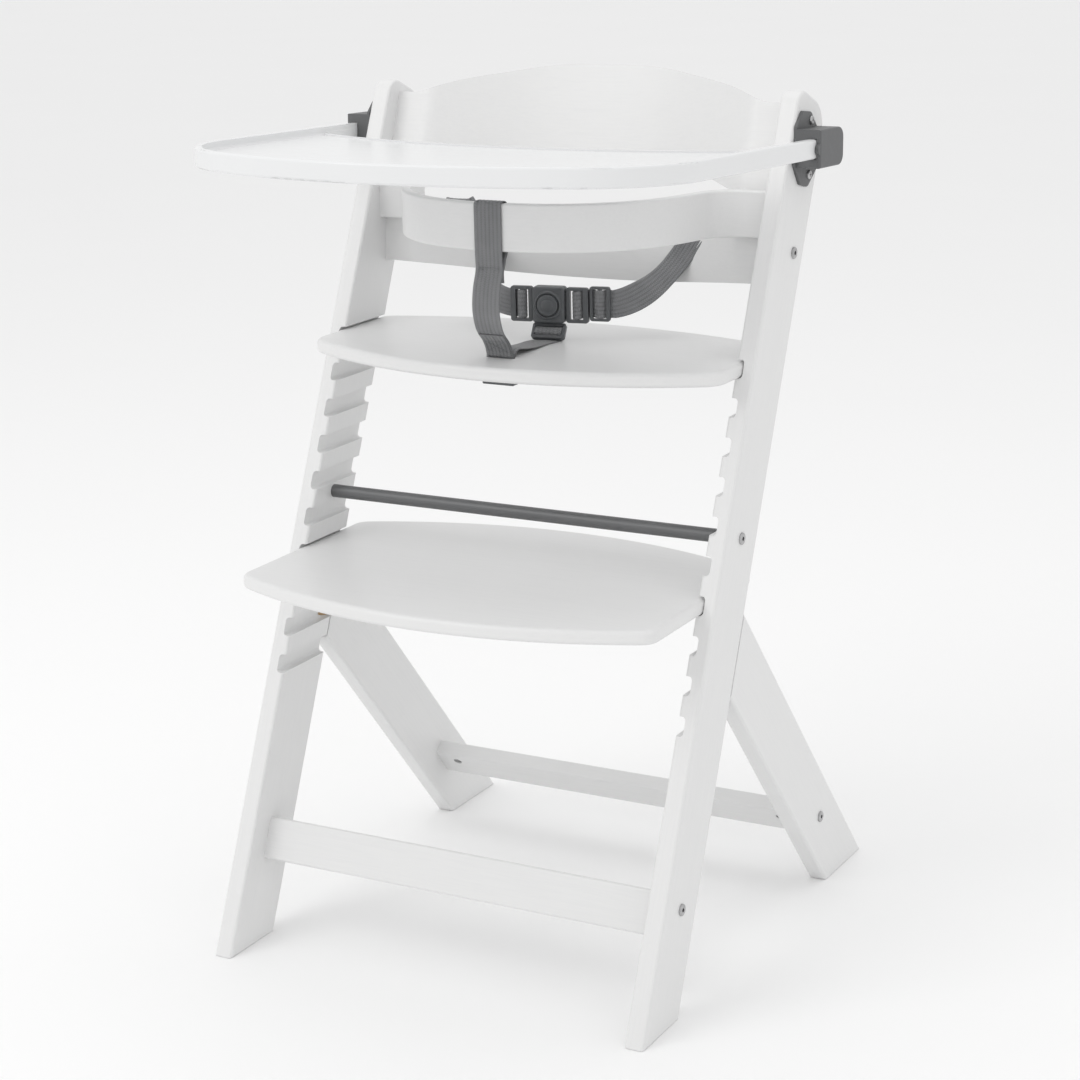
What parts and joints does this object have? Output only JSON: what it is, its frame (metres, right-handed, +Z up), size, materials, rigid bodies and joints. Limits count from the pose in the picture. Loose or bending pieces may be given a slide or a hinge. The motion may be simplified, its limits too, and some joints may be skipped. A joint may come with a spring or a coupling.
{
  "type": "baby high chair",
  "caption": "White wooden high chair with leaning side frames, grooved for a seat and footrest, with a tray, bowed guard and lap harness.",
  "frame": {"origin": "on the floor, under the middle of the chair with its tray in place", "axes": "+Z up, +Y towards the back, +X to the right seen from the front"},
  "size_m": [0.5532, 0.6096, 0.8857],
  "materials": {
    "painted_wood": "satin",
    "dowel_wood": "matte",
    "rod_steel": "satin",
    "zinc_steel": "satin",
    "tray_plastic": "gloss",
    "grey_plastic": "matte",
    "red_plastic": "satin",
    "buckle_plastic": "matte",
    "webbing": "matte"
  },
  "bodies": {
    "frame": {"front_leg_right": "painted_wood", "front_leg_left": "painted_wood", "rear_leg_right": "painted_wood", "rear_leg_left": "painted_wood", "front_crossbar": "painted_wood", "rear_crossbar": "painted_wood", "seat_plate": "painted_wood", "upper_back_panel": "painted_wood", "lower_back_rail": "painted_wood", "front_guard": "painted_wood", "leg_joint_dowels": "dowel_wood", "rail_dowels": "dowel_wood", "steel_rod": "rod_steel", "crossbar_bolts": "zinc_steel", "back_rail_bolts": "zinc_steel", "rod_bolts": "zinc_steel", "crossbar_barrel_nuts": "zinc_steel", "back_rail_barrel_nuts": "zinc_steel", "bracket_screws": "zinc_steel", "latch_spring_right": "zinc_steel", "latch_spring_left": "zinc_steel", "buckle_spring": "zinc_steel", "strap_screws": "zinc_steel", "tray_bracket_right": "grey_plastic", "tray_bracket_left": "grey_plastic", "buckle_front_shell": "buckle_plastic", "buckle_back_shell": "buckle_plastic", "waist_tongue_right": "buckle_plastic", "waist_tongue_left": "buckle_plastic", "crotch_tongue": "buckle_plastic", "ladder_lock": "buckle_plastic", "seat_strap_retainer": "buckle_plastic", "guard_strap": "webbing", "crotch_strap": "webbing", "waist_strap_right": "webbing", "waist_strap_left": "webbing"},
    "footrest": {"footrest_plate": "painted_wood"},
    "tray": {"tray": "tray_plastic"},
    "release_right": {"release_button_right": "red_plastic"},
    "release_left": {"release_button_left": "red_plastic"},
    "pawl_right": {"latch_pawl_right": "grey_plastic"},
    "pawl_left": {"latch_pawl_left": "grey_plastic"},
    "buckle_press": {"buckle_button": "buckle_plastic"}
  },
  "joints": [
    {"name": "footrest_slide", "type": "slide", "parent": "frame", "child": "footrest", "axis": [0, -1, 0], "range_m": [0, 0.11]},
    {"name": "tray_slide", "type": "slide", "parent": "frame", "child": "tray", "axis": [0, -0.9993, 0.0384], "range_m": [0, 0.03]},
    {"name": "release_press_right", "type": "slide", "parent": "frame", "child": "release_right", "axis": [0, -0.9993, 0.0384], "range_m": [0, 0.003], "stiffness_N_per_m": 900, "springref_m": -0.002},
    {"name": "release_press_left", "type": "slide", "parent": "frame", "child": "release_left", "axis": [0, -0.9993, 0.0384], "range_m": [0, 0.003], "stiffness_N_per_m": 900, "springref_m": -0.002},
    {"name": "pawl_draw_right", "type": "slide", "parent": "frame", "child": "pawl_right", "axis": [-1, 0, 0], "range_m": [0, 0.0024]},
    {"name": "pawl_draw_left", "type": "slide", "parent": "frame", "child": "pawl_left", "axis": [1, 0, 0], "range_m": [0, 0.0024]},
    {"name": "buckle_button_press", "type": "slide", "parent": "frame", "child": "buckle_press", "axis": [-0.1736, 0.9848, 0], "range_m": [0, 0.001], "stiffness_N_per_m": 900, "springref_m": -0.002}
  ],
  "couplings": [
    {"joint": "pawl_draw_right", "follows": "release_press_right", "ratio": 0.8},
    {"joint": "pawl_draw_left", "follows": "release_press_left", "ratio": 0.8}
  ]
}
